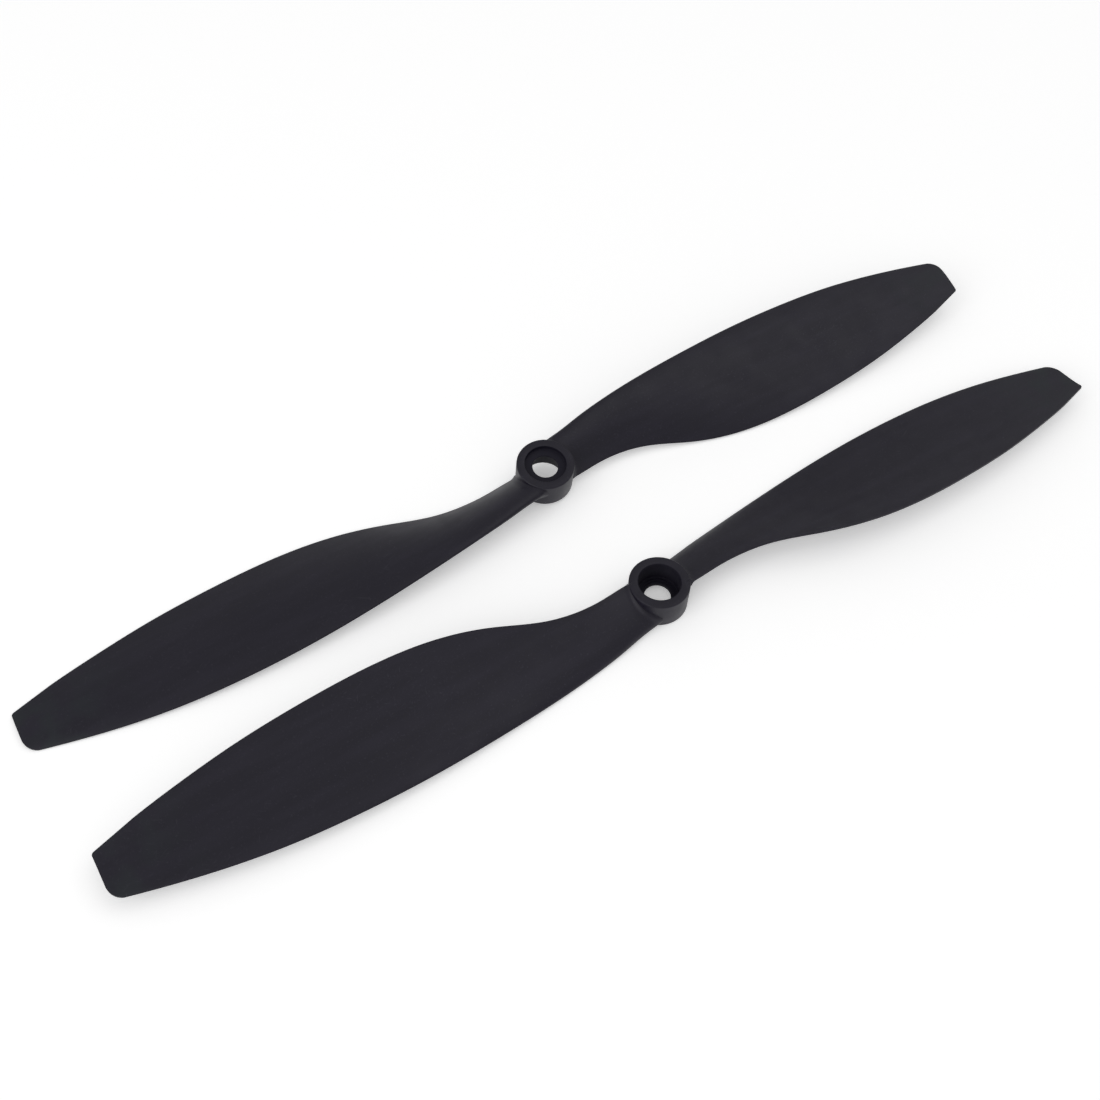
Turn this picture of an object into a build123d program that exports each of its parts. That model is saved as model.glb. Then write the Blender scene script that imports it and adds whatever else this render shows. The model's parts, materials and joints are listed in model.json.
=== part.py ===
"""A pair of two-blade slow-fly propellers, one for each way of turning, moulded in glass-filled nylon.

Each is drawn front face up, with the back of its hub on Z = 0, its bore on Z and its blades along X. The
pair is then laid on a table: the clockwise one face down on its hub, and the counter-clockwise one face up,
rocked on the two low points of its trailing edges until a blade tip touches. Millimetres.
"""

import os
from math import atan, atan2, cos, degrees, pi, tan

from build123d import *

# Blades
TIP_RADIUS = 127.0  # a 10 inch propeller
PITCH = 96.5  # 3.8 inches forward for each turn
TWIST_RADIUS = 28.0  # the twist fades out nearer the hub than this
CAMBER = 0.035  # of the chord
EDGE_THICKNESS = 0.5  # along the trailing edge

# The waste cut away at the tip: past a squared end, and past a line across the leading corner, rounded off
TIP_CORNER = (TIP_RADIUS, 3.9)
TIP_CORNER_RADIUS = 2.5
TIP_WASTE = [(140.0, 20.0), (122.0, 20.0), (122.0, 8.2), TIP_CORNER, (TIP_RADIUS, -20.0), (140.0, -20.0)]

# Sections from the hub's axis to just past the tip: distance out along the blade, chord ahead of the blade's
# axis, chord behind it, height of the chord's middle above the back of the hub, greatest thickness.
SECTIONS = [
    (0.0, 5.9, 3.6, 3.00, 3.4),
    (9.0, 7.0, 3.2, 3.35, 3.3),
    (14.0, 8.0, 2.8, 3.50, 3.1),
    (20.0, 9.0, 2.9, 3.50, 2.8),
    (28.0, 10.1, 4.4, 3.15, 2.5),
    (38.0, 11.2, 8.2, 2.50, 2.3),
    (50.0, 12.2, 11.6, 2.05, 2.0),
    (64.0, 12.9, 13.1, 1.90, 1.8),
    (80.0, 12.8, 12.9, 1.85, 1.6),
    (95.0, 11.7, 11.7, 1.90, 1.4),
    (108.0, 9.6, 9.7, 2.00, 1.25),
    (118.0, 7.3, 7.7, 2.20, 1.1),
    (129.0, 4.3, 4.8, 2.40, 0.9),
]

# The form of every section: place along the chord, from -1 at the trailing edge to 1 at the leading edge, and
# thickness there as a share of the greatest.
THICKNESS_SHARES = [(-0.55, 0.62), (-0.05, 0.94), (0.40, 1.0), (0.75, 0.78), (0.94, 0.42)]

# Hub
HUB_RADIUS = 6.85
HUB_HEIGHT = 7.2
BORE_RADIUS = 3.0
RECESS_RADIUS = 4.9  # shallow recess in the front face
RECESS_DEPTH = 1.2
SEAT_RADIUS = 4.75  # deep seat for an adapter ring, in the back face
SEAT_DEPTH = 4.9
STEP_DEPTH = 0.2  # two fine rings step down from the floor of the seat to the bore
STEP_RADII = [4.2, 3.6]
RIM_ROUNDING = 0.35
ROOT_LENGTH = 9.0  # the hub's piece ends and the blade's begins this far from the axis

# How the pair lies
HUB_SPACING_X = -4.4  # from the clockwise hub to the counter-clockwise one
HUB_SPACING_Y = 41.3
CCW_YAW = 0.5
ROCK_ANGLE = 8.0
LOW_POINT = (50.0, -11.6)  # lowest point of the right blade's trailing edge


def chord_angle(radius):
    """Angle of a section's chord to the disc: constant pitch, with the twist fading out near the hub."""
    turning_radius = (radius**6 + TWIST_RADIUS**6) ** (1 / 6)
    return atan(PITCH / (2 * pi * turning_radius))


def section_plane(radius, ahead, behind, middle):
    """Plane across the blade at the middle of a section's chord, with x along the chord to its front edge."""
    slope = tan(chord_angle(radius))
    return Plane(origin=(radius, (ahead - behind) / 2, middle), x_dir=(0, 1, slope), z_dir=(1, 0, 0))


def section_points(radius, ahead, behind, thickness):
    """Points round a section, from the trailing edge over the front face and back under the back face."""
    half_chord = (ahead + behind) / 2 / cos(chord_angle(radius))
    rise = 2 * half_chord * CAMBER
    shares = [(-1.0, EDGE_THICKNESS / thickness)] + THICKNESS_SHARES
    front = [(s * half_chord, rise * (1 - s * s) + share * thickness / 2) for s, share in shares]
    back = [(s * half_chord, rise * (1 - s * s) - share * thickness / 2) for s, share in shares]
    return front + [(half_chord, 0.0)] + back[::-1]


# One side of the counter-clockwise propeller, from the hub's axis to the tip along +X
with BuildPart() as wing:
    for distance, ahead, behind, middle, thickness in SECTIONS:
        with BuildSketch(section_plane(distance, ahead, behind, middle)):
            outline = section_points(distance, ahead, behind, thickness)
            with BuildLine():
                Spline(*outline)
                Line(outline[-1], outline[0])
            make_face()
    loft()
    # The squared tip, with its leading corner rounded
    with BuildSketch(Plane.XY.offset(-HUB_HEIGHT)):
        with BuildLine():
            Polyline(*TIP_WASTE, close=True)
        make_face()
        fillet(vertices().sort_by_distance(TIP_CORNER)[0], TIP_CORNER_RADIUS)
    extrude(amount=3 * HUB_HEIGHT, mode=Mode.SUBTRACT)

root_end = Plane.YZ.offset(ROOT_LENGTH)

with BuildPart() as blade:
    add(wing.part)
    split(bisect_by=root_end, keep=Keep.TOP)

with BuildPart() as root:
    add(wing.part)
    split(bisect_by=root_end, keep=Keep.BOTTOM)

# The hub: a short barrel with the roots of both blades, recessed at the front and bored from the back
with BuildPart() as hub:
    with BuildSketch():
        Circle(HUB_RADIUS)
    extrude(amount=HUB_HEIGHT)
    fillet(edges().filter_by(GeomType.CIRCLE), RIM_ROUNDING)
    with PolarLocations(0, 2):
        add(root.part)
    with Locations((0, 0, HUB_HEIGHT)):
        CounterBoreHole(BORE_RADIUS, RECESS_RADIUS, RECESS_DEPTH)
    with BuildSketch():
        Circle(SEAT_RADIUS)
    extrude(amount=SEAT_DEPTH, mode=Mode.SUBTRACT)
    for count, radius in enumerate(STEP_RADII, start=1):
        with BuildSketch():
            Circle(radius)
        extrude(amount=SEAT_DEPTH + count * STEP_DEPTH, mode=Mode.SUBTRACT)

# The clockwise propeller is the mirror image, turned face down on the table by the same mirror
ccw_yaw = Rot(0, 0, CCW_YAW)
rock_direction = Rot(0, 0, degrees(atan2(LOW_POINT[1], LOW_POINT[0])))
ccw_lie = ccw_yaw * rock_direction * Rot(ROCK_ANGLE, 0, 0) * rock_direction.inverse()
half_turn = Rot(0, 0, 180)

ccw_shapes = {
    "ccw_hub": ccw_lie * hub.part,
    "ccw_blade_a": ccw_lie * blade.part,
    "ccw_blade_b": ccw_lie * half_turn * blade.part,
}
cw_shapes = {
    "cw_hub": mirror(hub.part, about=Plane.XY),
    "cw_blade_a": mirror(blade.part, about=Plane.XY),
    "cw_blade_b": mirror(half_turn * blade.part, about=Plane.XY),
}


def lowest(shapes):
    """Height of the lowest point of a group of shapes."""
    return min(shape.bounding_box().min.Z for shape in shapes.values())


ccw_place = Pos(HUB_SPACING_X, HUB_SPACING_Y, -lowest(ccw_shapes))
cw_place = Pos(0, 0, -lowest(cw_shapes))
laid = {name: ccw_place * shape for name, shape in ccw_shapes.items()}
laid |= {name: cw_place * shape for name, shape in cw_shapes.items()}

# The origin is on the table, under the middle of the pair
whole = Compound(list(laid.values())).bounding_box()
to_origin = Pos(-whole.center().X, -whole.center().Y, 0)

os.makedirs("parts", exist_ok=True)
for name, shape in laid.items():
    with BuildPart() as piece:
        add(to_origin * shape)
    piece.part.label = name
    export_step(piece.part, f"parts/{name}.step")
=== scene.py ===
"""A pair of two-blade slow-fly propellers, moulded in black glass-filled nylon and laid side by side.

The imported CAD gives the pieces' places. Every piece is drawn in millimetres round the axis of its own hub,
with the back of the hub on Z = 0, and is then laid in metres where the CAD's mounts say that its hub lies.
"""

import json
import logging
import math
from collections.abc import Callable, Sequence
from dataclasses import dataclass, field
from enum import Enum

import bmesh
import bpy
from mathutils import Matrix, Vector


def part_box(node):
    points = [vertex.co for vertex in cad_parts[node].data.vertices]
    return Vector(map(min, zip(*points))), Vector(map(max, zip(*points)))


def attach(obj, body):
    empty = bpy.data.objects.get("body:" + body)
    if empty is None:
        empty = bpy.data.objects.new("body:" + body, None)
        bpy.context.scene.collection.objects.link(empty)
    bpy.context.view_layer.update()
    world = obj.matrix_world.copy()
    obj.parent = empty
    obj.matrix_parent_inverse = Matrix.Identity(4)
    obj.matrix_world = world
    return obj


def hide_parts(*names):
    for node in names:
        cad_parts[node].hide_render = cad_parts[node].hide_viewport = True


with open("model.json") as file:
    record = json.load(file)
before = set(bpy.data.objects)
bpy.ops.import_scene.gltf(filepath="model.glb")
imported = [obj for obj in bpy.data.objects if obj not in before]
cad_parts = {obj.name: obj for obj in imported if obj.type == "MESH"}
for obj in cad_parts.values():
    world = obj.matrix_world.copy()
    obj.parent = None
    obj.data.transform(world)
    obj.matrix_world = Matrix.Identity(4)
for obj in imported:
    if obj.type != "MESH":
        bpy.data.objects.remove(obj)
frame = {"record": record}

LOG = logging.getLogger("propellers")
METRE = 1000.0  # millimetres
SLACK = 0.01  # millimetres within which a corner counts as being at a place

Test = Callable[[Vector], bool]
Pair = tuple[float, float]


class Hand(Enum):
    """Which way a propeller turns, seen from its front."""

    CCW = "ccw"
    CW = "cw"


class Part(Enum):
    """What a selection in edit mode is made of."""

    EDGES = "EDGE"
    FACES = "FACE"


# Curves through a few values


def curve_through(points: Sequence[Pair], at: float) -> float:
    """Reads a smooth curve that passes through every given point: a natural cubic spline.

    Args:
        points: Places and the values there, in order of place.
        at: The place to read, within the first and last.

    Returns:
        The value there.
    """
    widths = [end[0] - start[0] for start, end in zip(points, points[1:])]
    rises = [(end[1] - start[1]) / width for start, end, width in zip(points, points[1:], widths)]
    # The bends at the points: each balances the rises on its two sides, with none at either end
    shares, bends = [0.0], [0.0]
    for index in range(1, len(widths)):
        pivot = 2 * (widths[index - 1] + widths[index]) - widths[index - 1] * shares[-1]
        shares.append(widths[index] / pivot)
        bends.append((6 * (rises[index] - rises[index - 1]) - widths[index - 1] * bends[-1]) / pivot)
    bends.append(0.0)
    for index in range(len(widths) - 1, 0, -1):
        bends[index] -= shares[index] * bends[index + 1]
    span = max(0, min(len(widths) - 1, sum(place <= at for place, _ in points) - 1))
    width = widths[span]
    to_end, to_start = (points[span + 1][0] - at) / width, (at - points[span][0]) / width
    sag = (to_end**3 - to_end) * bends[span] + (to_start**3 - to_start) * bends[span + 1]
    return to_end * points[span][1] + to_start * points[span + 1][1] + sag * width**2 / 6


def spaced(stops: Sequence[Pair]) -> list[float]:
    """Places from the first stop to the last, with the step given at each stop up to the next.

    Args:
        stops: Places and the largest step after each.

    Returns:
        Every place, with both ends.
    """
    places = []
    for (start, step), (end, _) in zip(stops, stops[1:]):
        count = math.ceil((end - start) / step)
        places += [start + (end - start) * index / count for index in range(count)]
    return places + [stops[-1][0]]


# Mesh work in edit mode


def open_for_editing() -> None:
    """Turns edit mode on for the active object."""
    bpy.ops.object.mode_set(mode="EDIT")


def close_editing() -> None:
    """Goes back to object mode."""
    bpy.ops.object.mode_set(mode="OBJECT")


def select_alone(piece: bpy.types.Object) -> None:
    """Selects one object, makes it active and deselects all the others."""
    bpy.ops.object.select_all(action="DESELECT")
    piece.select_set(True)
    bpy.context.view_layer.objects.active = piece


def pick(part: Part, test: Test) -> None:
    """Selects the parts of the mesh in edit mode whose every corner passes a test.

    Args:
        part: Whether edges or faces are selected.
        test: Says yes to a corner's place.
    """
    bpy.ops.mesh.select_mode(type=part.value)
    bpy.ops.mesh.select_all(action="DESELECT")
    mesh = bmesh.from_edit_mesh(bpy.context.object.data)
    for item in mesh.edges if part is Part.EDGES else mesh.faces:
        if all(test(point.co) for point in item.verts):
            item.select_set(True)
    mesh.select_flush_mode()
    bmesh.update_edit_mesh(bpy.context.object.data)


def pick_numbered(numbers: set[int]) -> None:
    """Selects the points with these numbers in the mesh in edit mode."""
    mesh = bmesh.from_edit_mesh(bpy.context.object.data)
    for point in mesh.verts:
        point.select = point.index in numbers
    mesh.select_flush_mode()
    bmesh.update_edit_mesh(bpy.context.object.data)


def on_ring(radius: float, level: float) -> Test:
    """A test for corners on a ring round the Z axis, at one radius and height."""
    return lambda place: (
        abs(math.hypot(place.x, place.y) - radius) < SLACK and abs(place.z - level) < SLACK
    )


def turn_outwards(piece: bpy.types.Object) -> None:
    """Makes every face of a closed piece point outwards."""
    select_alone(piece)
    open_for_editing()
    bpy.ops.mesh.select_all(action="SELECT")
    bpy.ops.mesh.normals_make_consistent(inside=False)
    close_editing()


def apply_modifier(piece: bpy.types.Object, kind: str, **settings: object) -> None:
    """Adds a modifier to a piece, sets it and applies it."""
    select_alone(piece)
    modifier = piece.modifiers.new(kind.title(), kind)
    for name, value in settings.items():
        setattr(modifier, name, value)
    bpy.ops.object.modifier_apply(modifier=modifier.name)


def copy_of(piece: bpy.types.Object, name: str, placing: Matrix) -> bpy.types.Object:
    """A copy of a piece with its own mesh, moved by a matrix and turned outwards again."""
    copied = bpy.data.objects.new(name, piece.data.copy())
    bpy.context.scene.collection.objects.link(copied)
    copied.data.name = name
    copied.data.transform(placing)
    turn_outwards(copied)
    return copied


# Finishes


def linear(hex_colour: str) -> tuple[float, float, float, float]:
    """Turns an sRGB hex colour to linear values, with full opacity."""
    shares = [int(hex_colour[place : place + 2], 16) / 255 for place in (1, 3, 5)]
    values = [share / 12.92 if share <= 0.04045 else ((share + 0.055) / 1.055) ** 2.4 for share in shares]
    return (*values, 1.0)


def add_node(
    tree: bpy.types.NodeTree, kind: str, inputs: dict[str | int, object], **settings: object
) -> bpy.types.Node:
    """Adds one node to a material.

    Args:
        tree: The material's nodes.
        kind: The node's type.
        inputs: For each input, by name or number, its value or the output that feeds it.
        settings: The node's own settings.

    Returns:
        The node.
    """
    node = tree.nodes.new(kind)
    for name, value in settings.items():
        setattr(node, name, value)
    for name, value in inputs.items():
        if isinstance(value, bpy.types.NodeSocket):
            tree.links.new(value, node.inputs[name])
        else:
            node.inputs[name].default_value = value
    return node


def map_range(
    tree: bpy.types.NodeTree, value: bpy.types.NodeSocket, band: Pair, spread: Pair = (0.0, 1.0)
) -> bpy.types.NodeSocket:
    """Spreads the part of a value that lies in a band over another range.

    Args:
        tree: The material's nodes.
        value: The value.
        band: The least and the greatest value that count.
        spread: What each of them becomes.

    Returns:
        The new value.
    """
    inputs = {"Value": value, "From Min": band[0], "From Max": band[1]}
    inputs |= {"To Min": spread[0], "To Max": spread[1]}
    return add_node(tree, "ShaderNodeMapRange", inputs).outputs["Result"]


def combined(
    tree: bpy.types.NodeTree, way: str, first: bpy.types.NodeSocket, second: bpy.types.NodeSocket
) -> bpy.types.NodeSocket:
    """Two values made into one, in the way that a maths node names."""
    return add_node(tree, "ShaderNodeMath", {0: first, 1: second}, operation=way).outputs[0]


@dataclass(frozen=True)
class MouldedNylon:
    """Black glass-filled nylon, as it comes from the mould.

    The short glass fibres near the skin give a matt charcoal with a fine pale grain. The melt leaves faint
    streaks along the blades as it runs out from the hub, handling leaves short scuffs, and the tips are
    rubbed greyer. Widths, lengths and depths are in millimetres, and a band is the part of a pattern that
    shows.
    """

    name: str = "moulded_glass_filled_nylon"
    body: str = "#151220"
    streak: str = "#1B1826"
    grain: str = "#33313D"
    rubbed: str = "#1B2026"
    scuff: str = "#3C3C45"
    roughness: float = 0.46
    roughness_spread: Pair = (-0.05, 0.06)  # from the smoother patches to the rougher ones
    roughness_band: Pair = (0.3, 0.7)
    ior: float = 1.53
    shine: float = 0.34  # the matt mould dulls the skin
    grain_width: float = 0.45  # glass fibres are about 0.01 mm wide: drawn coarser, so that they show
    grain_band: Pair = (0.60, 0.80)
    grain_share: float = 0.55
    streak_width: float = 3.0
    streak_length: float = 22.0
    streak_band: Pair = (0.42, 0.68)
    mottle_width: float = 5.5
    scuff_width: float = 0.35
    scuff_length: float = 5.0
    scuff_turns: tuple[float, ...] = (24.0, 68.0, -35.0)  # degrees from the blades' length
    scuff_band: Pair = (0.69, 0.82)
    scuff_share: float = 0.34
    scuffed_patch: float = 26.0
    scuffed_band: Pair = (0.5, 0.62)
    rubbed_reach: Pair = (104.0, 128.0)  # from the middle of a propeller towards its tips
    rubbed_band: Pair = (0.42, 0.64)
    texture_depth: float = 0.012  # of the matt skin that the mould leaves
    texture_strength: float = 0.25
    wave_depth: float = 0.05  # of the streaks
    wave_strength: float = 0.35

    def material(self) -> bpy.types.Material:
        """Builds the material."""
        material = bpy.data.materials.new(self.name)
        material.use_nodes = True
        tree = material.node_tree
        tree.nodes.clear()
        place = add_node(tree, "ShaderNodeTexCoord", {}).outputs["Object"]
        grain = self.pattern(tree, place, (self.grain_width, self.grain_width), 0.0, 3.0)
        streaks = self.pattern(tree, place, (self.streak_length, self.streak_width), 0.0, 4.0)
        mottle = self.pattern(tree, place, (self.mottle_width, self.mottle_width), 0.0, 3.0)
        scuffs = self.scuffs(tree, place)
        rubbed = self.rubbed_share(tree, place, mottle)
        streaked = map_range(tree, streaks, self.streak_band)
        grained = map_range(tree, grain, self.grain_band, (0.0, self.grain_share))
        smoothest, roughest = self.roughness_spread
        colour = self.mixed(tree, streaked, linear(self.body), linear(self.streak))
        colour = self.mixed(tree, rubbed, colour, linear(self.rubbed))
        colour = self.mixed(tree, grained, colour, linear(self.grain))
        colour = self.mixed(tree, scuffs, colour, linear(self.scuff))
        rough = map_range(
            tree, mottle, self.roughness_band, (self.roughness + smoothest, self.roughness + roughest)
        )
        skin = add_node(
            tree,
            "ShaderNodeBump",
            {"Height": grain, "Strength": self.texture_strength, "Distance": self.texture_depth / METRE},
        )
        waves = add_node(
            tree,
            "ShaderNodeBump",
            {
                "Height": streaks,
                "Strength": self.wave_strength,
                "Distance": self.wave_depth / METRE,
                "Normal": skin.outputs["Normal"],
            },
        )
        shader = add_node(
            tree,
            "ShaderNodeBsdfPrincipled",
            {
                "Base Color": colour,
                "Roughness": rough,
                "IOR": self.ior,
                "Specular IOR Level": self.shine,
                "Normal": waves.outputs["Normal"],
            },
        )
        add_node(tree, "ShaderNodeOutputMaterial", {"Surface": shader.outputs["BSDF"]})
        return material

    def pattern(
        self, tree: bpy.types.NodeTree, place: bpy.types.NodeSocket, size: Pair, turn: float, detail: float
    ) -> bpy.types.NodeSocket:
        """A cloudy pattern, drawn out along one direction.

        Args:
            tree: The material's nodes.
            place: Object coordinates, in metres.
            size: Length and width of its patches, in millimetres.
            turn: Angle of their length to the X axis, in degrees.
            detail: How many finer copies of itself it holds.

        Returns:
            Its value, round 0.5.
        """
        length, width = size
        turned = add_node(
            tree,
            "ShaderNodeMapping",
            {"Vector": place, "Rotation": (0.0, 0.0, math.radians(-turn))},
        )
        drawn = add_node(
            tree,
            "ShaderNodeMapping",
            {"Vector": turned.outputs["Vector"], "Scale": (METRE / length, METRE / width, METRE / width)},
        )
        noise = add_node(
            tree,
            "ShaderNodeTexNoise",
            {"Vector": drawn.outputs["Vector"], "Scale": 1.0, "Detail": detail},
        )
        return noise.outputs["Fac"]

    def mixed(
        self, tree: bpy.types.NodeTree, share: bpy.types.NodeSocket, first: object, second: object
    ) -> bpy.types.NodeSocket:
        """Mixes two colours by a share."""
        node = add_node(tree, "ShaderNodeMix", {0: share, 6: first, 7: second}, data_type="RGBA")
        return node.outputs[2]

    def scuffs(self, tree: bpy.types.NodeTree, place: bpy.types.NodeSocket) -> bpy.types.NodeSocket:
        """Thin pale scuffs at several angles, in patches, as one share."""
        patches = self.pattern(tree, place, (self.scuffed_patch, self.scuffed_patch), 0.0, 1.0)
        shares = []
        for turn in self.scuff_turns:
            lines = self.pattern(tree, place, (self.scuff_length, self.scuff_width), turn, 1.0)
            shares.append(map_range(tree, lines, self.scuff_band, (0.0, self.scuff_share)))
        total = shares[0]
        for share in shares[1:]:
            total = combined(tree, "MAXIMUM", total, share)
        return combined(tree, "MULTIPLY", total, map_range(tree, patches, self.scuffed_band))

    def rubbed_share(
        self, tree: bpy.types.NodeTree, place: bpy.types.NodeSocket, mottle: bpy.types.NodeSocket
    ) -> bpy.types.NodeSocket:
        """How far the surface is rubbed grey: from nothing to most of it at the tips, in patches."""
        axes = add_node(tree, "ShaderNodeSeparateXYZ", {"Vector": place})
        reach = add_node(tree, "ShaderNodeMath", {0: axes.outputs["X"]}, operation="ABSOLUTE")
        start, end = self.rubbed_reach
        near_tip = map_range(tree, reach.outputs[0], (start / METRE, end / METRE))
        return combined(tree, "MULTIPLY", near_tip, map_range(tree, mottle, self.rubbed_band))


# The inside of the hub is shaped by turned steel pins and is given a duller finish, with less shine and more
# roughness than the blades.
# Its darker grain and scuff colours are painted shade, standing in for the shade in the recess, bore and
# seat.
HUB_INSIDE_FINISH_WITH_PAINTED_SHADE = MouldedNylon(
    name="hub_inside_nylon_with_painted_shade",
    body="#171521",
    streak="#1A1824",
    grain="#262530",
    scuff="#262530",
    roughness=0.56,
    shine=0.18,
)


# The propellers

SMOOTH_BELOW = math.radians(32)  # faces that meet at less than this are shaded as one


@dataclass(frozen=True)
class Station:
    """A section of a blade: how far out it is, how far its chord reaches, its height and its thickness."""

    distance: float
    ahead: float
    behind: float
    middle: float
    thickness: float


@dataclass(frozen=True)
class Hub:
    """The short barrel that a motor's shaft passes through, in millimetres."""

    radius: float = 6.85
    height: float = 7.2
    bore_radius: float = 3.0
    recess_radius: float = 4.9
    recess_depth: float = 1.2
    seat_radius: float = 4.75
    seat_depth: float = 4.9
    step_depth: float = 0.2
    step_radii: Pair = (4.2, 3.6)
    rim_rounding: float = 0.35
    mouth_rounding: float = 0.16
    corner_rounding: float = 0.12
    sides: int = 160

    def build(self, skin: bpy.types.Material, inside: bpy.types.Material) -> bpy.types.Object:
        """Models the barrel from a cylinder, by insets and extrusions into both ends.

        Args:
            skin: The finish of its outside.
            inside: The finish of its recess, bore and seat, whose darker colours are painted shade.

        Returns:
            The barrel.
        """
        bpy.ops.object.select_all(action="DESELECT")
        bpy.ops.mesh.primitive_cylinder_add(
            vertices=self.sides, radius=self.radius, depth=self.height, location=(0, 0, self.height / 2)
        )
        barrel = bpy.context.object
        bpy.ops.object.transform_apply(location=True)
        open_for_editing()
        recess_floor = self.height - self.recess_depth
        self.pick_end(self.height)
        self.sink(self.radius, self.recess_radius, -self.recess_depth)
        self.sink(self.recess_radius, self.bore_radius, 0.0)
        bpy.ops.mesh.delete(type="ONLY_FACE")
        self.pick_end(0.0)
        self.sink(self.radius, self.seat_radius, self.seat_depth)
        radius, level = self.seat_radius, self.seat_depth
        for step_radius in self.step_radii:
            self.sink(radius, step_radius, self.step_depth)
            radius, level = step_radius, level + self.step_depth
        self.sink(radius, self.bore_radius, 0.0)
        bpy.ops.mesh.delete(type="ONLY_FACE")
        front = on_ring(self.bore_radius, recess_floor)
        back = on_ring(self.bore_radius, level)
        pick(Part.EDGES, lambda place: front(place) or back(place))
        bpy.ops.mesh.bridge_edge_loops()
        roundings = [
            (self.radius, 0.0, self.rim_rounding, 5),
            (self.radius, self.height, self.rim_rounding, 5),
            (self.recess_radius, self.height, self.mouth_rounding, 3),
            (self.seat_radius, 0.0, self.mouth_rounding, 3),
            (self.recess_radius, recess_floor, self.corner_rounding, 3),
            (self.seat_radius, self.seat_depth, self.corner_rounding, 3),
            (self.bore_radius, recess_floor, self.mouth_rounding, 3),
            (self.bore_radius, level, self.mouth_rounding / 2, 2),
        ]
        for ring_radius, ring_level, rounding, segments in roundings:
            pick(Part.EDGES, on_ring(ring_radius, ring_level))
            bpy.ops.mesh.bevel(offset=rounding, segments=segments, affect="EDGES")
        barrel.data.materials.append(skin)
        barrel.data.materials.append(inside)
        # The faces of the recess, bore and seat take the second material, whose darker colours are painted
        # shade for these hollows.
        pick(Part.FACES, lambda place: math.hypot(place.x, place.y) < self.recess_radius + SLACK)
        barrel.active_material_index = 1
        bpy.ops.object.material_slot_assign()
        close_editing()
        turn_outwards(barrel)
        return barrel

    def pick_end(self, level: float) -> None:
        """Selects the flat end of the barrel at one height."""
        pick(Part.FACES, lambda place: abs(place.z - level) < SLACK)

    def sink(self, radius: float, new_radius: float, depth: float) -> None:
        """Insets the selected round face to a new radius and moves it along the hub."""
        bpy.ops.mesh.inset(thickness=radius - new_radius)
        if depth:
            bpy.ops.mesh.extrude_region_move(TRANSFORM_OT_translate={"value": (0, 0, depth)})


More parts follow.
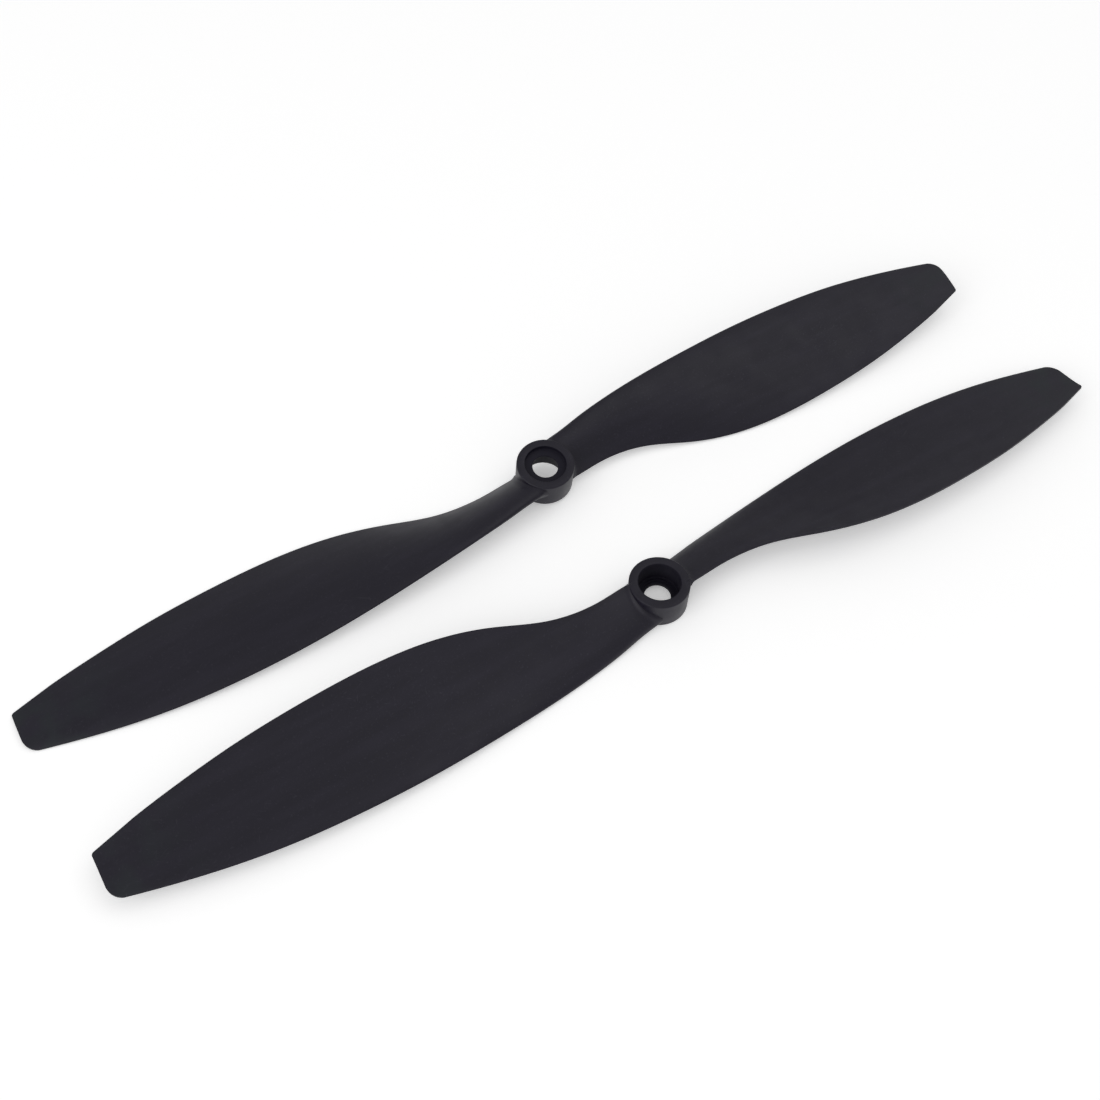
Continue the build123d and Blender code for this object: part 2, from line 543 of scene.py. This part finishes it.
@dataclass(frozen=True)
class Blade:
    """One blade of the counter-clockwise propeller, along +X, with its leading edge on +Y. Millimetres."""

    stations: tuple[Station, ...] = (
        Station(0.0, 5.9, 3.6, 3.00, 3.4),
        Station(9.0, 7.0, 3.2, 3.35, 3.3),
        Station(14.0, 8.0, 2.8, 3.50, 3.1),
        Station(20.0, 9.0, 2.9, 3.50, 2.8),
        Station(28.0, 10.1, 4.4, 3.15, 2.5),
        Station(38.0, 11.2, 8.2, 2.50, 2.3),
        Station(50.0, 12.2, 11.6, 2.05, 2.0),
        Station(64.0, 12.9, 13.1, 1.90, 1.8),
        Station(80.0, 12.8, 12.9, 1.85, 1.6),
        Station(95.0, 11.7, 11.7, 1.90, 1.4),
        Station(108.0, 9.6, 9.7, 2.00, 1.25),
        Station(118.0, 7.3, 7.7, 2.20, 1.1),
        Station(129.0, 4.3, 4.8, 2.40, 0.79),
    )
    tip_radius: float = 127.0
    pitch: float = 96.5
    twist_radius: float = 28.0  # the twist fades out nearer the hub than this
    twist_power: int = 6  # of the blend between the two: the higher, the sharper
    camber: float = 0.035
    edge_thickness: float = 0.44
    # Thickness along the chord, from -1 at the trailing edge to 1 at the leading edge, as a share of the most
    thickness_shares: tuple[Pair, ...] = (
        (-0.55, 0.62),
        (-0.05, 0.94),
        (0.40, 1.0),
        (0.75, 0.78),
        (0.94, 0.42),
    )
    # Where the columns of the skin lie, and the largest step between them up to the next stop
    column_stops: tuple[Pair, ...] = ((3.0, 0.3), (9.0, 0.6), (15.0, 1.2), (121.0, 0.7), (126.98, 1.0))
    rows: int = 40
    chord_share: float = 0.992  # of the chord, so that the thickened sheet stays inside the CAD's blade
    # The roundings of the squared tip: how far ahead of the blade's axis each has its centre, its radius, the
    # angle that it turns through and how many cuts make it
    corners: tuple[tuple[float, float, float, int], ...] = ((1.7, 4.2, 75.0, 16), (-4.6, 0.8, -75.0, 5))
    # The root is thicker within this distance of the barrel, by this much on each side at the barrel itself
    flare_reach: float = 1.3
    flare_height: float = 0.6
    flare_power: float = 2.2
    root_radius: float = 6.1  # the root ends inside the barrel's wall
    cutter_length: float = 40.0
    cutter_sides: int = 96
    weld_distance: float = 0.002
    sliver_length: float = 0.0005

    @property
    def greatest(self) -> float:
        """The greatest thickness that any point of the blade may have, with the flare on both sides."""
        return self.stations[0].thickness + 2 * self.flare_height

    def at(self, distance: float) -> Station:
        """The section at any distance from the hub's axis."""
        names = ("ahead", "behind", "middle", "thickness")
        values = [
            curve_through([(station.distance, getattr(station, name)) for station in self.stations], distance)
            for name in names
        ]
        return Station(distance, *values)

    def chord_angle(self, distance: float) -> float:
        """Angle of a section's chord to the disc, in radians."""
        power = self.twist_power
        turning_radius = (distance**power + self.twist_radius**power) ** (1 / power)
        return math.atan(self.pitch / (2 * math.pi * turning_radius))

    def thickness_at(self, along: float, station: Station) -> float:
        """Thickness of a section at a place along its chord.

        The curve is read by the root of the distance from the leading edge, which makes a round nose there.
        """
        shares = [(-1.0, self.edge_thickness / station.thickness), *self.thickness_shares, (1.0, 0.0)]
        from_nose = sorted((math.sqrt(max(0.0, 1 - place)), share) for place, share in shares)
        return station.thickness * max(0.0, curve_through(from_nose, math.sqrt(max(0.0, 1 - along))))

    def flare_at(self, place: Vector, hub: Hub) -> float:
        """How much thicker the root is near the barrel, where a fillet joins them."""
        share = 1 - max(0.0, math.hypot(place.x, place.y) - hub.radius) / self.flare_reach
        return 2 * self.flare_height * max(0.0, share) ** self.flare_power

    def row_places(self) -> list[float]:
        """Places of the rows along the chord, closer together towards both edges."""
        return [-math.cos(math.pi * index / self.rows) for index in range(self.rows + 1)]

    def build(self, hub: Hub, skin: bpy.types.Material) -> bpy.types.Object:
        """Models the blade: a cambered and twisted sheet is cut to outline, thickened and fitted to the hub.

        Args:
            hub: The barrel that it grows from.
            skin: Its finish.

        Returns:
            The blade.
        """
        columns = spaced(self.column_stops)
        bpy.ops.object.select_all(action="DESELECT")
        bpy.ops.mesh.primitive_grid_add(x_subdivisions=len(columns) - 1, y_subdivisions=self.rows, size=2)
        blade = bpy.context.object
        open_for_editing()
        bpy.ops.mesh.select_mode(type="VERT")
        self.camber_rows(len(columns))
        self.shape_columns(columns)
        close_editing()
        self.weigh(blade, columns, hub)
        open_for_editing()
        self.cut_tip()
        close_editing()
        thickening = {"thickness": self.greatest, "offset": 0.0, "use_quality_normals": True}
        apply_modifier(blade, "SOLIDIFY", vertex_group="thickness", **thickening)
        self.close_nose()
        self.fit_to_barrel(blade)
        turn_outwards(blade)
        blade.data.materials.append(skin)
        return blade

    def camber_rows(self, column_count: int) -> None:
        """Moves the rows of a grid two units wide to their places along a cambered chord.

        Args:
            column_count: How many points each row has.
        """
        for row, along in enumerate(self.row_places()):
            flat = -1 + 2 * row / self.rows
            rise = 2 * self.camber * (1 - along**2)
            first = row * column_count
            pick_numbered(set(range(first, first + column_count)))
            bpy.ops.transform.translate(value=(0, along - flat, rise))

    def shape_columns(self, columns: list[float]) -> None:
        """Takes each column out to its station, and gives it the chord, the angle and the height there."""
        count = len(columns)
        for column, distance in enumerate(columns):
            station = self.at(distance)
            angle = self.chord_angle(distance)
            half_chord = self.chord_share * (station.ahead + station.behind) / 2 / math.cos(angle)
            flat = -1 + 2 * column / (count - 1)
            pick_numbered(set(range(column, count * (self.rows + 1), count)))
            bpy.ops.transform.resize(value=(1, half_chord, half_chord), center_override=(0, 0, 0))
            bpy.ops.transform.rotate(value=-angle, orient_axis="X", center_override=(0, 0, 0))
            offset = (distance - flat, (station.ahead - station.behind) / 2, station.middle)
            bpy.ops.transform.translate(value=offset)

    def weigh(self, blade: bpy.types.Object, columns: list[float], hub: Hub) -> None:
        """Gives every point of the sheet its share of the greatest thickness."""
        group = blade.vertex_groups.new(name="thickness")
        places = self.row_places()
        for number, point in enumerate(blade.data.vertices):
            row, column = divmod(number, len(columns))
            thickness = self.thickness_at(places[row], self.at(columns[column]))
            if thickness > 0:
                thickness += self.flare_at(point.co, hub)
            group.add([number], min(1.0, thickness / self.greatest), "REPLACE")

    def cut_tip(self) -> None:
        """Rounds both corners of the tip, each by flat cuts that all touch one circle."""
        for ahead, radius, turn, cuts in self.corners:
            centre = Vector((self.tip_radius - radius, ahead, 0))
            for cut in range(1, cuts + 1):
                angle = math.radians(turn) * cut / cuts
                outwards = Vector((math.cos(angle), math.sin(angle), 0))
                touching = centre + radius * outwards
                bpy.ops.mesh.select_all(action="SELECT")
                bpy.ops.mesh.bisect(plane_co=touching, plane_no=outwards, clear_outer=True)

    def close_nose(self) -> None:
        """Welds the two faces of the skin along the leading edge, where the sheet has no thickness."""
        open_for_editing()
        bpy.ops.mesh.select_all(action="SELECT")
        bpy.ops.mesh.remove_doubles(threshold=self.weld_distance)
        bpy.ops.mesh.dissolve_degenerate(threshold=self.sliver_length)
        close_editing()

    def fit_to_barrel(self, blade: bpy.types.Object) -> None:
        """Cuts the root off inside the wall of the barrel, with a cylinder that is taken away again."""
        bpy.ops.object.select_all(action="DESELECT")
        bpy.ops.mesh.primitive_cylinder_add(
            vertices=self.cutter_sides, radius=self.root_radius, depth=self.cutter_length
        )
        cutter = bpy.context.object
        apply_modifier(blade, "BOOLEAN", object=cutter, operation="DIFFERENCE", solver="EXACT")
        bpy.data.objects.remove(cutter)


@dataclass
class Propeller:
    """A propeller lying on the table: its hub and its two blades, as one moulding in three named pieces."""

    hand: Hand
    hub: Hub = field(default_factory=Hub)
    blade: Blade = field(default_factory=Blade)

    @property
    def body(self) -> str:
        """The CAD body that the propeller rides on."""
        return f"{self.hand.value}_propeller"

    def mount(self, name: str) -> tuple[Vector, Vector]:
        """Place and axis of one of the propeller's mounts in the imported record, in metres."""
        wanted = f"{self.hand.value}_{name}"
        found = next(mount for mount in frame["record"]["mounts"] if mount["name"] == wanted)
        return Vector(found["pos_m"]), Vector(found["axis"])

    def lie(self) -> Matrix:
        """The matrix that lays a piece drawn in millimetres in its place in metres.

        The seat in the back of the hub gives the axis, and the back face, which is measured beside the axis
        towards the right blade, gives the turn. The clockwise propeller is the mirror image of the other.
        """
        seat, outwards = self.mount("ring_seat")
        beside, _ = self.mount("back_face")
        up = -outwards.normalized()
        origin = seat - up * (self.hub.seat_depth / 2 / METRE)
        along = (beside - origin).normalized()
        ahead = up.cross(along) * (1 if self.hand is Hand.CCW else -1)
        turned = Matrix((along, ahead, up)).transposed().to_4x4()
        return Matrix.Translation(origin) @ turned @ Matrix.Scale(1 / METRE, 4)

    def build(self, barrel: bpy.types.Object, blade: bpy.types.Object) -> None:
        """Args:
            barrel: The drawn hub.
            blade: The drawn blade, along +X.
        """
        half_turn = Matrix.Rotation(math.pi, 4, "Z")
        drawn = {"hub": (barrel, Matrix()), "blade_a": (blade, Matrix()), "blade_b": (blade, half_turn)}
        for node, (shape, turn) in drawn.items():
            name = f"{self.hand.value}_{node}"
            piece = copy_of(shape, f"{name}_moulding", self.lie() @ turn)
            select_alone(piece)
            bpy.ops.object.shade_smooth_by_angle(angle=SMOOTH_BELOW)
            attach(piece, self.body)
            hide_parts(name)
            LOG.info("%s: %d faces, rides on %s", piece.name, len(piece.data.polygons), self.body)


# The table, the lights and the camera


@dataclass(frozen=True)
class Softbox:
    """A square soft lamp facing the middle of the pair: its place and side in metres, and its watts."""

    name: str
    place: tuple[float, float, float]
    size: float
    power: float


@dataclass(frozen=True)
class Studio:
    """A white table under soft light, seen from the front left."""

    table_size: float = 8.0
    table_level: float = -0.00002  # just below the pair, so that the two don't fight for the same place
    table_colour: str = "#FCFCFC"
    table_roughness: float = 0.9
    table_glow: float = 0.33
    horizon_light: float = 0.66
    ceiling_light: float = 0.60
    ceiling_from: float = 0.35  # how high a direction looks where the ceiling's light is reached
    softboxes: tuple[Softbox, ...] = (
        Softbox("softbox_overhead", (0.65, -0.1, 1.15), 1.0, 1.9),
        Softbox("softbox_left", (-1.2, -0.3, 0.9), 1.2, 7.0),
    )
    # The camera's place from the foot of the clockwise hub's axis, in millimetres, and the way it looks, in
    # degrees
    camera_place: tuple[float, float, float] = (-102.16, -110.18, 223.21)
    camera_heading: float = 33.51  # from +Y towards +X
    camera_fall: float = 54.20  # below the horizon
    camera_roll: float = 2.09
    lens: float = 39.03
    nearest: float = 0.01  # metres from the camera at which it begins to see

    def build(self) -> None:
        """Sets the table, the light round it, the lamps and the camera."""
        self.lay_table()
        self.light_room()
        for softbox in self.softboxes:
            self.hang(softbox)
        self.stand_camera()

    def lay_table(self) -> None:
        """Lays the white table top."""
        bpy.ops.object.select_all(action="DESELECT")
        bpy.ops.mesh.primitive_plane_add(size=self.table_size, location=(0, 0, self.table_level))
        table = bpy.context.object
        table.name = "table"
        material = bpy.data.materials.new("white_table")
        material.use_nodes = True
        shader = material.node_tree.nodes["Principled BSDF"]
        shader.inputs["Base Color"].default_value = linear(self.table_colour)
        shader.inputs["Roughness"].default_value = self.table_roughness
        shader.inputs["Emission Color"].default_value = linear(self.table_colour)
        shader.inputs["Emission Strength"].default_value = self.table_glow
        table.data.materials.append(material)

    def light_room(self) -> None:
        """Lights the room from all round, brighter near the horizon than overhead."""
        world = bpy.data.worlds.new("room")
        bpy.context.scene.world = world
        world.use_nodes = True
        tree = world.node_tree
        tree.nodes.clear()
        way = add_node(tree, "ShaderNodeTexCoord", {}).outputs["Generated"]
        height = add_node(tree, "ShaderNodeSeparateXYZ", {"Vector": way}).outputs["Z"]
        lights = (self.horizon_light, self.ceiling_light)
        strength = map_range(tree, height, (0.0, self.ceiling_from), lights)
        light = add_node(tree, "ShaderNodeBackground", {"Strength": strength})
        add_node(tree, "ShaderNodeOutputWorld", {"Surface": light.outputs["Background"]})

    def hang(self, softbox: Softbox) -> None:
        """Hangs one lamp."""
        lamp = bpy.data.lights.new(softbox.name, "AREA")
        lamp.size = softbox.size
        lamp.energy = softbox.power
        hung = bpy.data.objects.new(softbox.name, lamp)
        bpy.context.scene.collection.objects.link(hung)
        facing = (-Vector(softbox.place)).to_track_quat("-Z", "Y").to_matrix().to_4x4()
        hung.matrix_world = Matrix.Translation(softbox.place) @ facing

    def stand_camera(self) -> None:
        """Stands the camera where the pair is seen from."""
        low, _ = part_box("cw_hub")
        seat, _ = Propeller(Hand.CW).mount("ring_seat")
        foot = Vector((seat.x, seat.y, low.z))
        heading = math.radians(self.camera_heading)
        fall = math.radians(self.camera_fall)
        roll = math.radians(self.camera_roll)
        flat = math.cos(fall)
        ahead = Vector((math.sin(heading) * flat, math.cos(heading) * flat, -math.sin(fall)))
        level = ahead.cross(Vector((0, 0, 1))).normalized()
        upright = level.cross(ahead)
        right = math.cos(roll) * level + math.sin(roll) * upright
        top = math.cos(roll) * upright - math.sin(roll) * level
        turned = Matrix((right, top, -ahead)).transposed().to_4x4()
        lens = bpy.data.cameras.new("camera")
        lens.lens = self.lens
        lens.clip_start = self.nearest
        camera = bpy.data.objects.new("camera", lens)
        bpy.context.scene.collection.objects.link(camera)
        camera.matrix_world = Matrix.Translation(foot + Vector(self.camera_place) / METRE) @ turned
        bpy.context.scene.camera = camera


def main() -> None:
    """Builds the pair, the table, the lights and the camera."""
    logging.basicConfig(level=logging.INFO, format="%(name)s: %(message)s")
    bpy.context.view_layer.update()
    hub, blade = Hub(), Blade()
    skin = MouldedNylon().material()
    barrel_shape = hub.build(skin, HUB_INSIDE_FINISH_WITH_PAINTED_SHADE.material())
    blade_shape = blade.build(hub, skin)
    for hand in Hand:
        Propeller(hand, hub, blade).build(barrel_shape, blade_shape)
    for shape in (barrel_shape, blade_shape):
        bpy.data.objects.remove(shape)
    Studio().build()
    bpy.context.scene.view_settings.view_transform = "Standard"


if __name__ == "__main__":
    main()
